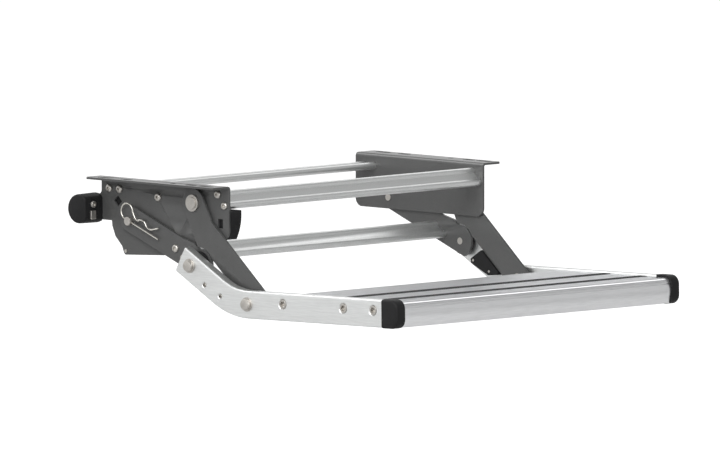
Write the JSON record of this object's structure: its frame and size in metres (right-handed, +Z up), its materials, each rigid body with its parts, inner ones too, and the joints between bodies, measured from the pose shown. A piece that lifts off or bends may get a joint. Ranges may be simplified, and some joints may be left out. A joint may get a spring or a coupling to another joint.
{
  "type": "caravan pull out step",
  "caption": "Powered fold-out entrance step: flanged side plates, links and dog-leg arms swing a ribbed aluminium tread forward and down.",
  "frame": {"origin": "midway between the side plates and at the middle of their length, on the plane of the mounting flanges' top faces", "axes": "+X along the tread from the drive side to the plain side, -Y the way the step comes out, +Z up"},
  "size_m": [0.5742, 0.6355, 0.1788],
  "materials": {
    "plate_coat": "fine matt powder coat",
    "bar_alloy": "natural anodised",
    "tread_alloy": "natural anodised, ribbed",
    "black_plastic": "moulded, fine grain",
    "strip_rubber": "ribbed",
    "pin_steel": "zinc plated",
    "screw_steel": "zinc plated",
    "wire_steel": "bright spring wire"
  },
  "bodies": {
    "root": {"side_plate_left": "plate_coat", "side_plate_right": "plate_coat", "front_cross_bar": "plate_coat", "rear_cross_bar": "plate_coat", "cross_bar_screws": "screw_steel", "drive_housing": "black_plastic", "housing_screw": "screw_steel", "plate_rivet": "screw_steel", "drive_motor": "black_plastic", "motor_tab": "pin_steel", "motor_screw": "screw_steel", "arm_pivot_pin_left": "pin_steel", "arm_pivot_pin_right": "pin_steel", "arm_washer_left": "pin_steel", "arm_washer_right": "pin_steel", "link_washer_left": "pin_steel", "link_washer_right": "pin_steel", "link_pivot_pin": "pin_steel"},
    "lower_link": {"link_left": "plate_coat", "link_right": "plate_coat", "lower_cross_bar": "plate_coat", "lower_bar_screws": "screw_steel", "release_pin": "pin_steel", "release_clip": "wire_steel", "link_end_pin_left": "pin_steel", "link_end_pin_right": "pin_steel"},
    "arm_left": {"arm_left": "plate_coat", "arm_bush_left": "pin_steel"},
    "arm_right": {"arm_right": "plate_coat", "arm_bush_right": "pin_steel"},
    "step_frame": {"side_bar_left": "bar_alloy", "side_bar_right": "bar_alloy", "tread": "tread_alloy", "tread_strips": "strip_rubber", "tread_screws": "screw_steel", "end_cap_left": "black_plastic", "end_cap_right": "black_plastic", "arm_stop_left": "black_plastic", "arm_stop_right": "black_plastic", "stop_screws": "screw_steel", "link_spacers": "black_plastic", "arm_spacers": "black_plastic", "arm_end_pins": "pin_steel"}
  },
  "joints": [
    {"name": "fold", "type": "hinge", "parent": "root", "child": "lower_link", "pos_m": [0, 0.0605, -0.0592], "axis": [1, 0, 0], "range_deg": [0, 133]},
    {"name": "arm_left_swing", "type": "hinge", "parent": "root", "child": "arm_left", "pos_m": [-0.257, -0.0597, -0.0266], "axis": [1, 0, 0], "range_deg": [0, 90.59]},
    {"name": "arm_right_swing", "type": "hinge", "parent": "root", "child": "arm_right", "pos_m": [0.257, -0.0597, -0.0266], "axis": [1, 0, 0], "range_deg": [0, 90.59]},
    {"name": "step_tilt", "type": "hinge", "parent": "lower_link", "child": "step_frame", "pos_m": [0, -0.07404, -0.11192], "axis": [1, 0, 0], "range_deg": [-141.56, 0]}
  ],
  "couplings": [
    {"joint": "arm_left_swing", "follows": "fold", "ratio": 0.68078},
    {"joint": "arm_right_swing", "follows": "fold", "ratio": 0.68078},
    {"joint": "step_tilt", "follows": "fold", "ratio": -1.064}
  ]
}
